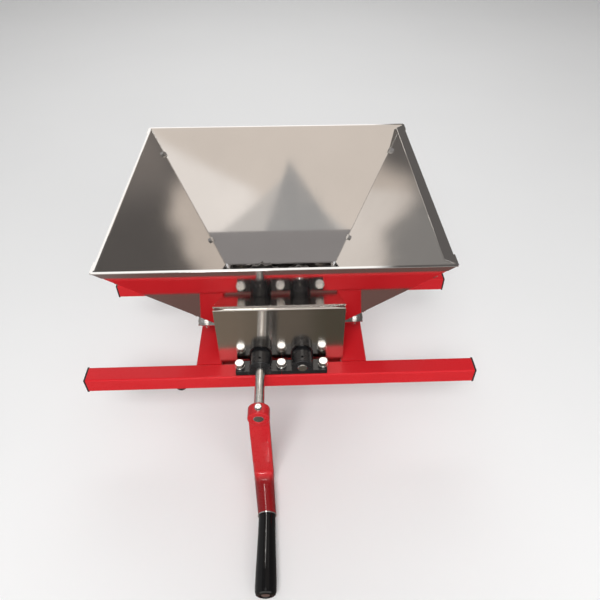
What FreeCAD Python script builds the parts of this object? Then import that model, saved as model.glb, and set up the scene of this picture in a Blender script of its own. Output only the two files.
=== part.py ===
import FreeCAD, Part
import math
import os
import re
import Sketcher

# Hand cranked apple scratter: a red tube frame that lies across a bucket, a
# polished sheet hopper over a mill box, two rotors of toothed discs geared
# together, a guard over the gears, four split nylon bearing blocks and a crank.
# Frame of the part, in millimetres: X to the right, Y to the back, Z up.
# Origin: middle of the front rail's underside, the face that lies on the rim.

os.makedirs("parts", exist_ok=True)
V = FreeCAD.Vector
doc = FreeCAD.newDocument("apple_scratter")
sheet = doc.addObject("Spreadsheet::Sheet", "Sizes")

SIZES = [
    # frame
    ("rail_length", 452.0, "rail over its end caps"),
    ("tube_side", 20.0, "square rail tube"),
    ("tube_wall", 1.5, "tube wall"),
    ("tube_round", 2.0, "tube corner radius"),
    ("rail_span", 140.0, "clear distance between the rails"),
    ("cross_inner", 70.0, "cross tube inner face from the middle"),
    ("cross_outer", 100.0, "cross tube outer face from the middle"),
    ("cap_flange", 2.0, "end cap flange thickness"),
    ("cap_plug", 9.0, "end cap plug length"),
    ("foot_radius", 7.0, "rubber foot radius"),
    ("foot_height", 7.0, "rubber foot height"),
    ("foot_x", 119.0, "rubber foot from the middle"),
    # hopper
    ("hopper_bottom", 56.5, "height of the hopper's lower edge"),
    ("hopper_top", 204.0, "height of the hopper's rim"),
    ("mouth_half", 159.5, "half width of the mouth"),
    ("mouth_front", -36.0, "front edge of the mouth"),
    ("mouth_back", 242.5, "back edge of the mouth"),
    ("throat_half", 73.0, "half width of the lower edge"),
    ("throat_front", 41.7, "front of the lower edge"),
    ("throat_back", 149.5, "back of the lower edge"),
    ("sheet_hopper", 1.2, "hopper sheet"),
    ("seam_flange", 14.0, "corner flange width"),
    ("hem_height", 10.0, "closed hem of front and back"),
    ("lip_right", 8.4, "turned in lip of the right wall"),
    ("lip_left", 0.8, "turned in lip of the left wall"),
    ("foot_flange_x", 97.5, "outer edge of the hopper's bolted flange"),
    ("foot_flange_y", 40.5, "front edge of the hopper's bolted flange"),
    ("flange_bolt_x", 87.5, "hopper bolt from the middle"),
    ("flange_bolt_front", 49.5, "front hopper bolt"),
    ("flange_bolt_rear", 139.0, "rear hopper bolt"),
    # mill box
    ("box_front", 43.0, "inner face of the mill front plate"),
    ("box_rear", 148.0, "inner face of the mill rear plate"),
    ("flange_level", 52.5, "height where hopper and mill flanges meet"),
    ("sheet_mill", 2.0, "mill front and rear plate"),
    ("sheet_side", 1.5, "mill side plate"),
    ("plate_foot", 1.0, "lower edge of the mill plates"),
    ("shaft_clear", 7.0, "radius of the plates' shaft holes"),
    ("chute_half", 57.0, "guide plate's skirt from the middle"),
    # shafts and rotors
    ("shaft_x", 24.0, "shaft from the middle"),
    ("shaft_z", 30.5, "shaft height"),
    ("journal_dia", 11.0, "shaft in the blocks"),
    ("core_dia", 13.0, "shaft between the blocks"),
    ("hex_flats", 14.0, "hexagon under the discs"),
    ("drive_front", -74.5, "front end of the drive shaft"),
    ("driven_front", -8.6, "front end of the driven shaft"),
    ("shaft_rear", 175.6, "rear end of both shafts"),
    ("shoulder_front", 15.4, "front shoulder"),
    ("shoulder_rear", 151.6, "rear shoulder"),
    ("hex_start", 45.0, "front end of the hexagon"),
    ("hex_end", 146.0, "rear end of the hexagon"),
    ("disc_radius", 30.5, "tooth tip radius"),
    ("disc_root", 27.6, "tooth root radius"),
    ("disc_sheet", 3.0, "disc thickness"),
    ("disc_pitch", 12.0, "disc spacing on one shaft"),
    ("drive_disc_first", 46.0, "front face of the drive rotor's first disc"),
    ("driven_disc_first", 52.0, "front face of the driven rotor's first disc"),
    ("spacer_radius", 13.0, "spacer outer radius"),
    ("stack_front", 43.6, "front end of the stack"),
    ("stack_rear", 147.4, "rear end of the stack"),
    # gears
    ("gear_teeth", 24.0, "teeth of each gear"),
    ("gear_front", 20.0, "front face of the gears"),
    ("gear_width", 12.0, "face width"),
    ("gear_hub", 11.0, "hub radius"),
    ("gear_hub_length", 7.0, "hub length"),
    ("gear_backlash", 0.14, "thinning of each tooth flank"),
    ("pin_dia", 3.0, "roll pin"),
    ("pin_y", 35.5, "roll pin position"),
    # bearing blocks
    ("block_length", 52.3, "block from the split to its outer end"),
    ("block_gap", 0.2, "half the gap at the split"),
    ("block_depth", 16.0, "block depth"),
    ("block_tail", 15.0, "housing end behind the block's middle"),
    ("oil_hole_y", -1.5, "oil hole from the block's middle"),
    ("block_flange", 6.5, "block flange thickness"),
    ("boss_radius", 12.3, "block housing radius"),
    ("bore_radius", 5.55, "block bore"),
    ("bolt_pitch", 48.0, "bearing bolt spacing"),
    ("bolt_dia", 6.0, "bearing bolt"),
    ("bolt_flats", 10.0, "bearing bolt head"),
    ("bolt_head", 4.0, "bearing bolt head height"),
    ("washer_radius", 5.5, "bearing bolt washer"),
    ("washer_sheet", 1.4, "washer thickness"),
    # guard
    ("guard_front", 12.3, "front face of the guard"),
    ("guard_half", 71.7, "half width of the guard"),
    ("guard_top", 104.4, "top of the guard"),
    ("guard_foot", 20.3, "lower edge of the guard"),
    ("guard_skirt", 12.5, "lower edge of the guard between the cross tubes"),
    ("guard_sheet", 1.2, "guard sheet"),
    ("guard_lip", 2.8, "top flange depth"),
    ("guard_back", 39.5, "rear edge of the side flanges"),
    ("arch_radius", 12.9, "shaft slot in the guard"),
    ("arch_z", 34.1, "centre of the slot's arch"),
    # crank
    ("hub_radius", 11.85, "crank hub"),
    ("hub_front", -75.0, "front of the hub"),
    ("hub_length", 14.0, "hub length"),
    ("crank_radius", 130.0, "crank arm, centre to centre"),
    ("arm_front", -72.5, "front face of the arm"),
    ("arm_sheet", 7.0, "arm thickness"),
    ("arm_root", 11.1, "half width of the arm at the hub"),
    ("arm_tip", 11.9, "half width of the arm at the handle"),
    ("arm_side", -0.6, "sideways set of the arm's end"),
    ("grip_side", 3.6, "sideways set of the handle"),
    ("neck_front", -116.0, "front of the neck"),
    ("neck_radius", 10.4, "neck at the handle"),
    ("grip_front", -200.5, "front end of the grip"),
    ("grip_rear", -117.6, "rear end of the grip"),
    ("grip_small", 9.5, "grip radius at the neck"),
    ("grip_large", 11.35, "grip radius near its end"),
    ("spindle_radius", 4.0, "handle spindle"),
]


# A size that carries both its number and the sheet formula that gives it.
class Size:
    def __init__(self, value, text):
        self.v = float(value)
        self.e = text

    def __add__(self, other):
        other = size(other)
        return Size(self.v + other.v, "(%s + %s)" % (self.e, other.e))

    def __radd__(self, other):
        return size(other) + self

    def __sub__(self, other):
        other = size(other)
        return Size(self.v - other.v, "(%s - %s)" % (self.e, other.e))

    def __rsub__(self, other):
        return size(other) - self

    def __mul__(self, other):
        other = size(other)
        return Size(self.v * other.v, "(%s * %s)" % (self.e, other.e))

    def __rmul__(self, other):
        return size(other) * self

    def __truediv__(self, other):
        other = size(other)
        return Size(self.v / other.v, "(%s / %s)" % (self.e, other.e))

    def __neg__(self):
        return Size(-self.v, "(0 - %s)" % self.e)


def size(x):
    if isinstance(x, Size):
        return x
    return Size(float(x), ("%.9f" % float(x)) if x >= 0 else "(0 - %.9f)" % -float(x))


class Sheet:
    pass


D = Sheet()
for row, (alias, value, words) in enumerate(SIZES, 1):
    sheet.set("A%d" % row, words)
    sheet.set("B%d" % row, "%.6g" % value)
    sheet.setAlias("B%d" % row, alias)
    setattr(D, alias, Size(value, "Sizes." + alias))
doc.recompute()

NODES = []
names = {}


def fresh(name):
    names[name] = names.get(name, 0) + 1
    return name if names[name] == 1 else "%s_%d" % (name, names[name])


def bind(obj, prop, value):
    value = size(value)
    obj.setExpression(prop, value.e)


def keep(obj, label):
    obj.Label = label
    NODES.append(obj)
    return obj


# ---------------------------------------------------------------- sketch tools
def new_body(label, many=False):
    body = doc.addObject("PartDesign::Body", fresh(label))
    body.AllowCompound = many
    return keep(body, label)


def origin_plane(body, role):
    for feature in body.Origin.OriginFeatures:
        if feature.Role == role:
            return feature


def new_sketch(body, role, offset=0):
    sk = body.newObject("Sketcher::SketchObject", fresh("Sketch"))
    sk.AttachmentSupport = [(origin_plane(body, role), "")]
    sk.MapMode = "FlatFace"
    sk.AttachmentOffset = FreeCAD.Placement(V(0, 0, size(offset).v), FreeCAD.Rotation())
    bind(sk, "AttachmentOffset.Base.z", offset)
    return sk


def pin_point(sk, index, pos, x, y):
    for kind, value, axis in (("DistanceX", size(x), -2), ("DistanceY", size(y), -1)):
        if abs(value.v) < 1e-9:
            sk.addConstraint(Sketcher.Constraint("PointOnObject", index, pos, axis))
        elif value.v > 0:
            n = sk.addConstraint(Sketcher.Constraint(kind, -1, 1, index, pos, value.v))
            sk.setExpression("Constraints[%d]" % n, value.e)
        else:
            n = sk.addConstraint(Sketcher.Constraint(kind, index, pos, -1, 1, -value.v))
            sk.setExpression("Constraints[%d]" % n, (-value).e)


def polygon(sk, points):
    pts = [(size(a), size(b)) for a, b in points]
    first = sk.GeometryCount
    count = len(pts)
    for i in range(count):
        a, b = pts[i], pts[(i + 1) % count]
        sk.addGeometry(Part.LineSegment(V(a[0].v, a[1].v, 0), V(b[0].v, b[1].v, 0)), False)
    for i in range(count):
        sk.addConstraint(Sketcher.Constraint("Coincident", first + i, 2, first + (i + 1) % count, 1))
    for i in range(count):
        pin_point(sk, first + i, 1, pts[i][0], pts[i][1])


def circle(sk, x, y, r):
    x, y, r = size(x), size(y), size(r)
    n = sk.addGeometry(Part.Circle(V(x.v, y.v, 0), V(0, 0, 1), r.v), False)
    pin_point(sk, n, 3, x, y)
    c = sk.addConstraint(Sketcher.Constraint("Radius", n, r.v))
    sk.setExpression("Constraints[%d]" % c, r.e)


def box_points(x0, x1, y0, y1):
    return [(x0, y0), (x1, y0), (x1, y1), (x0, y1)]


def pad(body, sk, length, reverse=False, both=False):
    p = body.newObject("PartDesign::Pad", fresh("Pad"))
    p.Profile = sk
    p.Length = size(length).v
    bind(p, "Length", length)
    if both:
        p.SideType = "Symmetric"
    p.Reversed = reverse
    body.Tip = p
    doc.recompute()
    return p


def pocket(body, sk, length=None, reverse=False, both=False):
    before = body.Shape.Volume
    p = body.newObject("PartDesign::Pocket", fresh("Pocket"))
    p.Profile = sk
    if length is None:
        p.Type = "Length"
        p.Length = 600
        both = True
    else:
        p.Length = size(length).v
        bind(p, "Length", length)
    if both:
        p.SideType = "Symmetric"
    p.Reversed = reverse
    body.Tip = p
    doc.recompute()
    if body.Shape.Volume > before - 1e-3:
        raise RuntimeError("a pocket in %s cuts nothing" % body.Label)
    return p


def revolve(body, sk, axis):
    r = body.newObject("PartDesign::Revolution", fresh("Revolution"))
    r.Profile = sk
    r.ReferenceAxis = (sk, [axis])
    r.Angle = 360.0
    body.Tip = r
    doc.recompute()
    return r


def loft(body, lower, upper):
    f = body.newObject("PartDesign::AdditiveLoft", fresh("Loft"))
    f.Profile = lower
    f.Sections = [(upper, [""])]
    f.Ruled = True
    body.Tip = f
    doc.recompute()
    return f


def round_edges(body, base, radius, test, kind="PartDesign::Fillet"):
    edges = ["Edge%d" % i for i, e in enumerate(base.Shape.Edges, 1) if test(e)]
    if not edges:
        raise RuntimeError("no edge to round on " + body.Label)
    f = body.newObject(kind, fresh("Round"))
    f.Base = (base, edges)
    if kind.endswith("Fillet"):
        f.Radius = size(radius).v
        bind(f, "Radius", radius)
    else:
        f.Size = size(radius).v
        bind(f, "Size", radius)
    body.Tip = f
    doc.recompute()
    return f


def place(obj, x=0, y=0, z=0):
    obj.Placement = FreeCAD.Placement(V(size(x).v, size(y).v, size(z).v), obj.Placement.Rotation)
    bind(obj, "Placement.Base.x", x)
    bind(obj, "Placement.Base.y", y)
    bind(obj, "Placement.Base.z", z)


# ------------------------------------------------------------- primitive tools
def turn(axis_name):
    if axis_name == "z":
        return FreeCAD.Rotation()
    if axis_name == "y":
        return FreeCAD.Rotation(V(1, 0, 0), -90)
    if axis_name == "-y":
        return FreeCAD.Rotation(V(1, 0, 0), 90)
    if axis_name == "x":
        return FreeCAD.Rotation(V(0, 1, 0), 90)
    if axis_name == "-x":
        return FreeCAD.Rotation(V(0, 1, 0), -90)
    return axis_name


def set_place(obj, at, rot):
    obj.Placement = FreeCAD.Placement(V(*[size(c).v for c in at]), turn(rot))
    for key, c in zip("xyz", at):
        bind(obj, "Placement.Base." + key, c)


def cylinder(r, h, at, rot="z", name="Cylinder"):
    c = doc.addObject("Part::Cylinder", fresh(name))
    bind(c, "Radius", r)
    bind(c, "Height", h)
    set_place(c, at, rot)
    return c


def cone(r1, r2, h, at, rot="z"):
    c = doc.addObject("Part::Cone", fresh("Cone"))
    bind(c, "Radius1", r1)
    bind(c, "Radius2", r2)
    bind(c, "Height", h)
    set_place(c, at, rot)
    return c


def prism(flats, h, at, rot="z"):
    p = doc.addObject("Part::Prism", fresh("Prism"))
    p.Polygon = 6
    bind(p, "Circumradius", size(flats) * (0.5 / math.cos(math.pi / 6)))
    bind(p, "Height", h)
    set_place(p, at, rot)
    return p


def box(lo, hi):
    b = doc.addObject("Part::Box", fresh("Box"))
    for prop, a, c in zip(("Length", "Width", "Height"), lo, hi):
        bind(b, prop, size(c) - size(a))
    set_place(b, lo, "z")
    return b


def fuse(items):
    f = doc.addObject("Part::MultiFuse", fresh("Fuse"))
    f.Shapes = items
    f.Refine = True
    return f


def common(a, b):
    f = doc.addObject("Part::MultiCommon", fresh("Common"))
    f.Shapes = [a, b]
    return f


def cut(a, b):
    f = doc.addObject("Part::Cut", fresh("Cut"))
    f.Base = a
    f.Tool = b
    f.Refine = True
    return f


def group(label, items):
    g = doc.addObject("Part::Compound", fresh(label))
    g.Links = items
    return keep(g, label)


def step_point(at, rot, d):
    direction = turn(rot).multVec(V(0, 0, 1))
    return tuple(size(a) + size(d) * round(k, 9) if abs(k) > 1e-9 else size(a)
                 for a, k in zip(at, direction))


def hex_screw(at, rot, flats, head, dia, length):
    """at: where the head's underside seats; rot: the way the head points."""
    flats, head = size(flats), size(head)
    body = prism(flats, head, at, rot)
    crown = cone(flats * 0.47 + head * 1.7, flats * 0.47, head, at, rot)
    crowned = common(body, crown)
    tip = step_point(at, rot, -size(length))
    shank = cylinder(size(dia) / 2, size(length) + head / 2, tip, rot)
    return fuse([crowned, shank])


def hex_nut(at, rot, flats, height, hole):
    body = prism(flats, height, at, rot)
    crown = cone(size(flats) * 0.48 + size(height) * 1.7, size(flats) * 0.48, height, at, rot)
    crowned = common(body, crown)
    start = step_point(at, rot, -1)
    return cut(crowned, cylinder(hole, size(height) + 2, start, rot))


def ring(r_out, r_in, h, at, rot="z"):
    start = step_point(at, rot, -1)
    return cut(cylinder(r_out, h, at, rot), cylinder(r_in, size(h) + 2, start, rot))


# ------------------------------------------------------------------ tube frame
half_tube = D.tube_side / 2
inner_half = half_tube - D.tube_wall
rear_y = half_tube + D.rail_span + half_tube        # middle of the rear rail
rail_half = D.rail_length / 2 - D.cap_flange


def tube(label, role, centre, half_w, half_h, length, holes):
    body = new_body(label)
    sk = new_sketch(body, role)
    polygon(sk, box_points(-half_w, half_w, centre - half_h, centre + half_h))
    p = pad(body, sk, length, both=True)

    def along(e):
        d = e.tangentAt(e.FirstParameter)
        return abs(d.x) > 0.99 if role == "YZ_Plane" else abs(d.y) > 0.99

    round_edges(body, p, D.tube_round, along)
    sk = new_sketch(body, role)
    polygon(sk, box_points(D.tube_wall - half_w, half_w - D.tube_wall,
                           centre - half_h + D.tube_wall, centre + half_h - D.tube_wall))
    pocket(body, sk)
    for role2, offset, spots, depth in holes:
        sk = new_sketch(body, role2, offset)
        for x, y, r in spots:
            circle(sk, x, y, r)
        pocket(body, sk, depth)
    return body


bolt_hole = D.bolt_dia / 2 + 0.3
foot_spots = ((-1, -1.0), (1, 2.4))                 # the front right foot sits a little back
for label, y, stops in (("front_rail", size(0), foot_spots),
                        ("rear_rail", rear_y, ((-1, 0.0), (1, 0.0)))):
    rail = tube(label, "YZ_Plane", half_tube, half_tube, half_tube, rail_half * 2,
                [("XY_Plane", D.tube_side, [(-D.bolt_pitch, 0, bolt_hole), (0, 0, bolt_hole),
                                            (D.bolt_pitch, 0, bolt_hole)], D.tube_wall * 2),
                 ("XY_Plane", D.tube_wall * 2, [(D.foot_x * s, dy, 3.0) for s, dy in stops],
                  D.tube_wall * 2)])
    place(rail, 0, y, 0)

cross_mid = (D.cross_inner + D.cross_outer) / 2
cross_half = (D.cross_outer - D.cross_inner) / 2
for label, s in (("left_cross_tube", -1), ("right_cross_tube", 1)):
    cross = tube(label, "XZ_Plane", half_tube, cross_half, half_tube, D.rail_span, [])
    sk = new_sketch(cross, "YZ_Plane", cross_half * -s)
    circle(sk, -20, 10, 2.8)
    circle(sk, 50, 10, 2.8)
    pocket(cross, sk, D.tube_wall * 3, both=True)
    place(cross, cross_mid * s, half_tube + D.rail_span / 2, 0)

caps = []
for y in (size(0), rear_y):
    for s in (-1, 1):
        lo_x = rail_half if s > 0 else -rail_half - D.cap_flange
        caps.append(fuse([
            box((lo_x, y - half_tube, 0), (lo_x + D.cap_flange, y + half_tube, D.tube_side)),
            box(((rail_half - D.cap_plug) if s > 0 else -rail_half, y - inner_half + 0.1, D.tube_wall + 0.1),
                (rail_half if s > 0 else -rail_half + D.cap_plug, y + inner_half - 0.1,
                 D.tube_side - D.tube_wall - 0.1))]))
group("rail_end_caps", caps)

feet = []
for y, stops in ((size(0), foot_spots), (rear_y, ((-1, 0.0), (1, 0.0)))):
    for s, dy in stops:
        at = (D.foot_x * s, y + dy, -D.foot_height)
        feet.append(fuse([
            cone(D.foot_radius - 1.6, D.foot_radius, D.foot_height * 0.35, at),
            cylinder(D.foot_radius, D.foot_height * 0.65, (at[0], at[1], -D.foot_height * 0.65)),
            cylinder(2.9, D.tube_wall + 0.5, (at[0], at[1], -0.2)),
            cone(4.2, 2.6, 3.0, (at[0], at[1], D.tube_wall + 0.05))]))
group("rubber_feet", feet)


# ------------------------------------------------------------------- mill box
def mill_plate(label, y_front, ears):
    body = new_body(label)
    sk = new_sketch(body, "XZ_Plane", -size(y_front))
    edge = D.cross_inner - 0.2
    polygon(sk, box_points(-edge, edge, D.plate_foot, D.hopper_bottom - 0.3))
    circle(sk, -D.shaft_x, D.shaft_z, D.shaft_clear)
    circle(sk, D.shaft_x, D.shaft_z, D.shaft_clear)
    pad(body, sk, D.sheet_mill, reverse=True)
    if ears:
        # two ears bent forward that take the guard's screws
        for s in (-1, 1):
            sk = new_sketch(body, "YZ_Plane", (edge - D.sheet_side) if s > 0 else -edge)
            polygon(sk, box_points(29, y_front + 0.5, 22, 50))
            circle(sk, 35, 36, 2.2)
            pad(body, sk, D.sheet_side)
    return body


mill_plate("mill_front_plate", D.box_front - D.sheet_mill, True)
mill_plate("mill_rear_plate", D.box_rear, False)

flange_z = D.flange_level                            # where hopper and mill flanges meet
for label, s in (("mill_left_plate", -1), ("mill_right_plate", 1)):
    body = new_body(label)
    sk = new_sketch(body, "XZ_Plane", -D.box_front)
    outer, inner = D.cross_inner * s, (D.cross_inner - D.sheet_side) * s
    tip = (D.foot_flange_x - 0.5) * s
    polygon(sk, [(inner, D.plate_foot), (outer, D.plate_foot), (outer, flange_z - D.sheet_side),
                 (tip, flange_z - D.sheet_side), (tip, flange_z), (inner, flange_z)])
    pad(body, sk, D.box_rear - D.box_front, reverse=True)
    sk = new_sketch(body, "XY_Plane", flange_z + 1)
    circle(sk, D.flange_bolt_x * s, D.flange_bolt_front, 2.8)
    circle(sk, D.flange_bolt_x * s, D.flange_bolt_rear, 2.8)
    pocket(body, sk, 4)
    sk = new_sketch(body, "YZ_Plane", outer)
    circle(sk, half_tube + D.rail_span / 2 - 20, 10, 2.8)
    circle(sk, half_tube + D.rail_span / 2 + 50, 10, 2.8)
    pocket(body, sk, 8, both=True)

for label, s in (("left_guide_plate", -1), ("right_guide_plate", 1)):
    body = new_body(label)
    sk = new_sketch(body, "XZ_Plane", -(D.box_front + 0.3))
    c, w = D.chute_half, D.sheet_side
    top = D.cross_inner - w - 0.3
    polygon(sk, [(c * s, 3), ((c + w) * s, 3), ((c + w) * s, D.shaft_z + 0.5),
                 (top * s, 50.6), (top * s, 52.4), ((top - 1.0) * s, 52.4), (c * s, D.shaft_z + 1.0)])
    pad(body, sk, D.box_rear - D.box_front - 0.6, reverse=True)

mid_y = half_tube + D.rail_span / 2
screws, nuts = [], []
for s in (-1, 1):
    for dy in (-20, 50):
        face = (D.cross_inner - D.sheet_side) * s
        screws.append(hex_screw((face, mid_y + dy, 10), "-x" if s > 0 else "x", 8, 3.0, 5.0, 9.5))
        nuts.append(hex_nut(((D.cross_inner + D.tube_wall) * s, mid_y + dy, 10),
                            "x" if s > 0 else "-x", 8, 4.0, 2.5))
group("mill_box_screws", screws)
group("mill_box_nuts", nuts)


# --------------------------------------------------------------------- hopper
rise = D.hopper_top - D.hopper_bottom


def at_height(low, high, z):
    return low + (high - low) * ((size(z) - D.hopper_bottom) / rise)


def hx(z):
    return at_height(D.throat_half, D.mouth_half, z)


def hf(z):
    return at_height(D.throat_front, D.mouth_front, z)


def hb(z):
    return at_height(D.throat_back, D.mouth_back, z)


tan_side = (D.mouth_half - D.throat_half).v / rise.v
tan_back = (D.mouth_back - D.throat_back).v / rise.v
tan_front = (D.throat_front - D.mouth_front).v / rise.v
tx = D.sheet_hopper * math.hypot(1, tan_side)       # sheet measured level
tb = D.sheet_hopper * math.hypot(1, tan_back)
tf = D.sheet_hopper * math.hypot(1, tan_front)
GAP = 0.02


def end_wall(label, edge, sheet_level, out):
    """front or back wall with the seam flanges that wrap the side walls"""
    body = new_body(label)

    def section(z):
        x, y = hx(z), edge(z)
        side_in, side_out = x + tx + GAP, x + tx * 2
        return [(-side_in, y), (side_in, y), (side_in, y - D.seam_flange * out),
                (side_out, y - D.seam_flange * out), (side_out, y + sheet_level * out),
                (-side_out, y + sheet_level * out), (-side_out, y - D.seam_flange * out),
                (-side_in, y - D.seam_flange * out)]

    lower = new_sketch(body, "XY_Plane", D.hopper_bottom)
    polygon(lower, section(D.hopper_bottom))
    upper = new_sketch(body, "XY_Plane", D.hopper_top)
    polygon(upper, section(D.hopper_top))
    loft(body, lower, upper)
    # the rim is folded back on itself, outside
    hem_z = D.hopper_top - D.hem_height
    ends = []
    for z in (hem_z, D.hopper_top):
        sk = new_sketch(body, "XY_Plane", z)
        y = edge(z)
        x = hx(z) + tx * 2 - 1.5
        polygon(sk, [(-x, y + sheet_level * 0.5 * out), (x, y + sheet_level * 0.5 * out),
                     (x, y + sheet_level * 2.0 * out), (-x, y + sheet_level * 2.0 * out)])
        ends.append(sk)
    loft(body, ends[0], ends[1])
    return body


front_wall = end_wall("hopper_front_wall", hf, tf, -1)
back_wall = end_wall("hopper_back_wall", hb, tb, 1)

corner = 7.0


def rounded_tab(x0, x1, y0, y1, s):
    """x1 is the free edge; its two corners are rounded"""
    pts = [(x0 * s, y0)]
    for k in range(0, 4):
        a = math.radians(30 * k)
        pts.append(((x1 - corner + corner * math.sin(a)) * s, y0 + corner - corner * math.cos(a)))
    for k in range(0, 4):
        a = math.radians(30 * k)
        pts.append(((x1 - corner + corner * math.cos(a)) * s, y1 - corner + corner * math.sin(a)))
    pts.append((x0 * s, y1))
    return pts


side_walls = {}
for label, s, lip in (("hopper_left_wall", -1, D.lip_left), ("hopper_right_wall", 1, D.lip_right)):
    body = new_body(label)
    foot = D.flange_level + 0.5
    sections = []
    for z in (foot, D.hopper_top):
        sk = new_sketch(body, "XY_Plane", z)
        x = hx(z)
        f, b = hf(z) + GAP, hb(z) - GAP
        polygon(sk, [(x * s, f), ((x + tx) * s, f), ((x + tx) * s, b), (x * s, b)])
        sections.append(sk)
    loft(body, sections[0], sections[1])
    # turned in lip with mitred ends
    sk = new_sketch(body, "XY_Plane", D.hopper_top - D.sheet_hopper)
    x = hx(D.hopper_top - D.sheet_hopper) + tx * 0.6
    x_in = D.mouth_half - lip
    cut_back = lip * 0.85
    polygon(sk, [(x * s, D.mouth_front + 1.4), (x * s, D.mouth_back - 1.6),
                 (x_in * s, D.mouth_back - 1.6 - cut_back), (x_in * s, D.mouth_front + 1.4 + cut_back)])
    pad(body, sk, D.sheet_hopper)
    # level flange that bolts to the mill box
    sk = new_sketch(body, "XY_Plane", flange_z)
    polygon(sk, rounded_tab(hx(foot) + 0.2, D.foot_flange_x, D.foot_flange_y,
                            D.box_rear + 2, s))
    circle(sk, D.flange_bolt_x * s, D.flange_bolt_front, 2.8)
    circle(sk, D.flange_bolt_x * s, D.flange_bolt_rear, 2.8)
    pad(body, sk, D.sheet_hopper)
    side_walls[s] = body

# seam screws through each side wall and the flange behind it
slope = math.degrees(math.atan2(rise.v, (D.mouth_half - D.throat_half).v))
SEAM = []
for s in (-1, 1):
    for edge, inward in ((hf, 1), (hb, -1)):
        for z in (85.8, 178.9):
            SEAM.append((s, hx(z), edge(z) + 5.2 * inward, size(z)))

normal = {s: V(-s * math.sin(math.radians(slope)), 0, math.cos(math.radians(slope))) for s in (-1, 1)}
screws, nuts, holes = [], [], {-1: [], 1: []}
for s, x, y, z in SEAM:
    rot = FreeCAD.Rotation(V(0, 0, 1), normal[s])
    at = (x * s, y, z)
    screws.append(hex_screw(at, rot, 6.6, 2.3, 3.4, 7.6))
    back = step_point(at, rot, -(D.sheet_hopper * 2 + 0.12))
    nuts.append(hex_nut(back, FreeCAD.Rotation(V(0, 0, 1), -normal[s]), 7.0, 3.0, 1.7))
    holes[s].append((at, rot))
group("hopper_seam_screws", screws)
group("hopper_seam_nuts", nuts)

bolts, washers, nuts = [], [], []
for s in (-1, 1):
    for y in (D.flange_bolt_front, D.flange_bolt_rear):
        x = D.flange_bolt_x * s
        top = flange_z + D.sheet_hopper
        washers.append(ring(7.0, 2.8, 1.2, (x, y, top)))
        bolts.append(hex_screw((x, y, top + 1.2), "z", 8, 3.5, 5.0, 12.5))
        nuts.append(hex_nut((x, y, flange_z - D.sheet_side), FreeCAD.Rotation(V(1, 0, 0), 180), 8, 4.0, 2.5))
group("hopper_flange_bolts", bolts)
group("hopper_flange_washers", washers)
group("hopper_flange_nuts", nuts)


# ------------------------------------------------------------- bearing blocks
def bearing_block(label, s, y):
    body = new_body(label)
    half = D.block_depth / 2
    sk = new_sketch(body, "XZ_Plane", half)
    polygon(sk, box_points(D.block_gap * s, D.block_length * s, 0, D.block_flange))
    pad(body, sk, D.block_depth, reverse=True)
    axis_z = D.shaft_z - D.tube_side
    sk = new_sketch(body, "XZ_Plane", half)
    left, right = (D.shaft_x - D.boss_radius) * s, (D.shaft_x + D.boss_radius) * s
    polygon(sk, box_points(left, right, 0, axis_z))
    pad(body, sk, half + D.block_tail, reverse=True)
    sk = new_sketch(body, "XZ_Plane", half)
    circle(sk, D.shaft_x * s, axis_z, D.boss_radius - 0.001)
    # the arch above the shaft: the lower half of the circle lies inside the foot
    p = body.newObject("PartDesign::Pad", fresh("Pad"))
    p.Profile = sk
    bind(p, "Length", half + D.block_tail)
    p.Reversed = True
    body.Tip = p
    doc.recompute()
    sk = new_sketch(body, "XY_Plane", 0)
    polygon(sk, box_points((D.shaft_x - 14) * s, (D.shaft_x + 14) * s, -half - 2, D.block_tail + 2))
    pocket(body, sk, 6)
    sk = new_sketch(body, "XZ_Plane", 0)
    circle(sk, D.shaft_x * s, axis_z, D.bore_radius)
    pocket(body, sk)
    sk = new_sketch(body, "XY_Plane", D.block_flange + 1)
    circle(sk, D.bolt_pitch * s, 0, D.bolt_dia / 2 + 0.2)
    circle(sk, 0, 0, D.bolt_dia / 2 + 0.2)
    pocket(body, sk, D.block_flange + 2)
    sk = new_sketch(body, "XY_Plane", axis_z + D.boss_radius + 1)
    circle(sk, D.shaft_x * s, D.oil_hole_y, 1.5)
    f = pocket(body, sk, D.boss_radius)
    z_top = axis_z.v + D.boss_radius.v

    def arch(e):
        c = e.Curve
        return (c.TypeId == "Part::GeomCircle" and abs(c.Radius - (D.boss_radius.v - 0.001)) < 0.01
                and abs(abs(c.Axis.y) - 1) < 1e-6)

    round_edges(body, f, 1.2, arch)
    place(body, 0, y, D.tube_side)
    return body


for label, s, y in (("front_left_bearing_block", -1, size(0)), ("front_right_bearing_block", 1, size(0)),
                    ("rear_left_bearing_block", -1, rear_y), ("rear_right_bearing_block", 1, rear_y)):
    bearing_block(label, s, y)

for where, y in (("front", size(0)), ("rear", rear_y)):
    bolts, washers, nuts = [], [], []
    for k in (-1, 0, 1):
        x = D.bolt_pitch * k
        top = D.tube_side + D.block_flange
        washers.append(ring(D.washer_radius, 3.15, D.washer_sheet, (x, y, top)))
        washers.append(ring(D.washer_radius - 0.4, 3.15, D.washer_sheet, (x, y, top + D.washer_sheet)))
        bolts.append(hex_screw((x, y, top + D.washer_sheet * 2), "z", D.bolt_flats, D.bolt_head,
                               D.bolt_dia, 17.5))
        nuts.append(hex_nut((x, y, D.tube_side - D.tube_wall), FreeCAD.Rotation(V(1, 0, 0), 180),
                            10, 5.0, D.bolt_dia / 2))
    group(where + "_bearing_bolts", bolts)
    group(where + "_bearing_washers", washers)
    group(where + "_bearing_nuts", nuts)


# --------------------------------------------------------------------- shafts
def hexagon(flats, phase=0.0):
    r = size(flats) * (0.5 / math.cos(math.pi / 6))
    return [(r * math.cos(math.radians(60 * k + phase)), r * math.sin(math.radians(60 * k + phase)))
            for k in range(6)]


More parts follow.
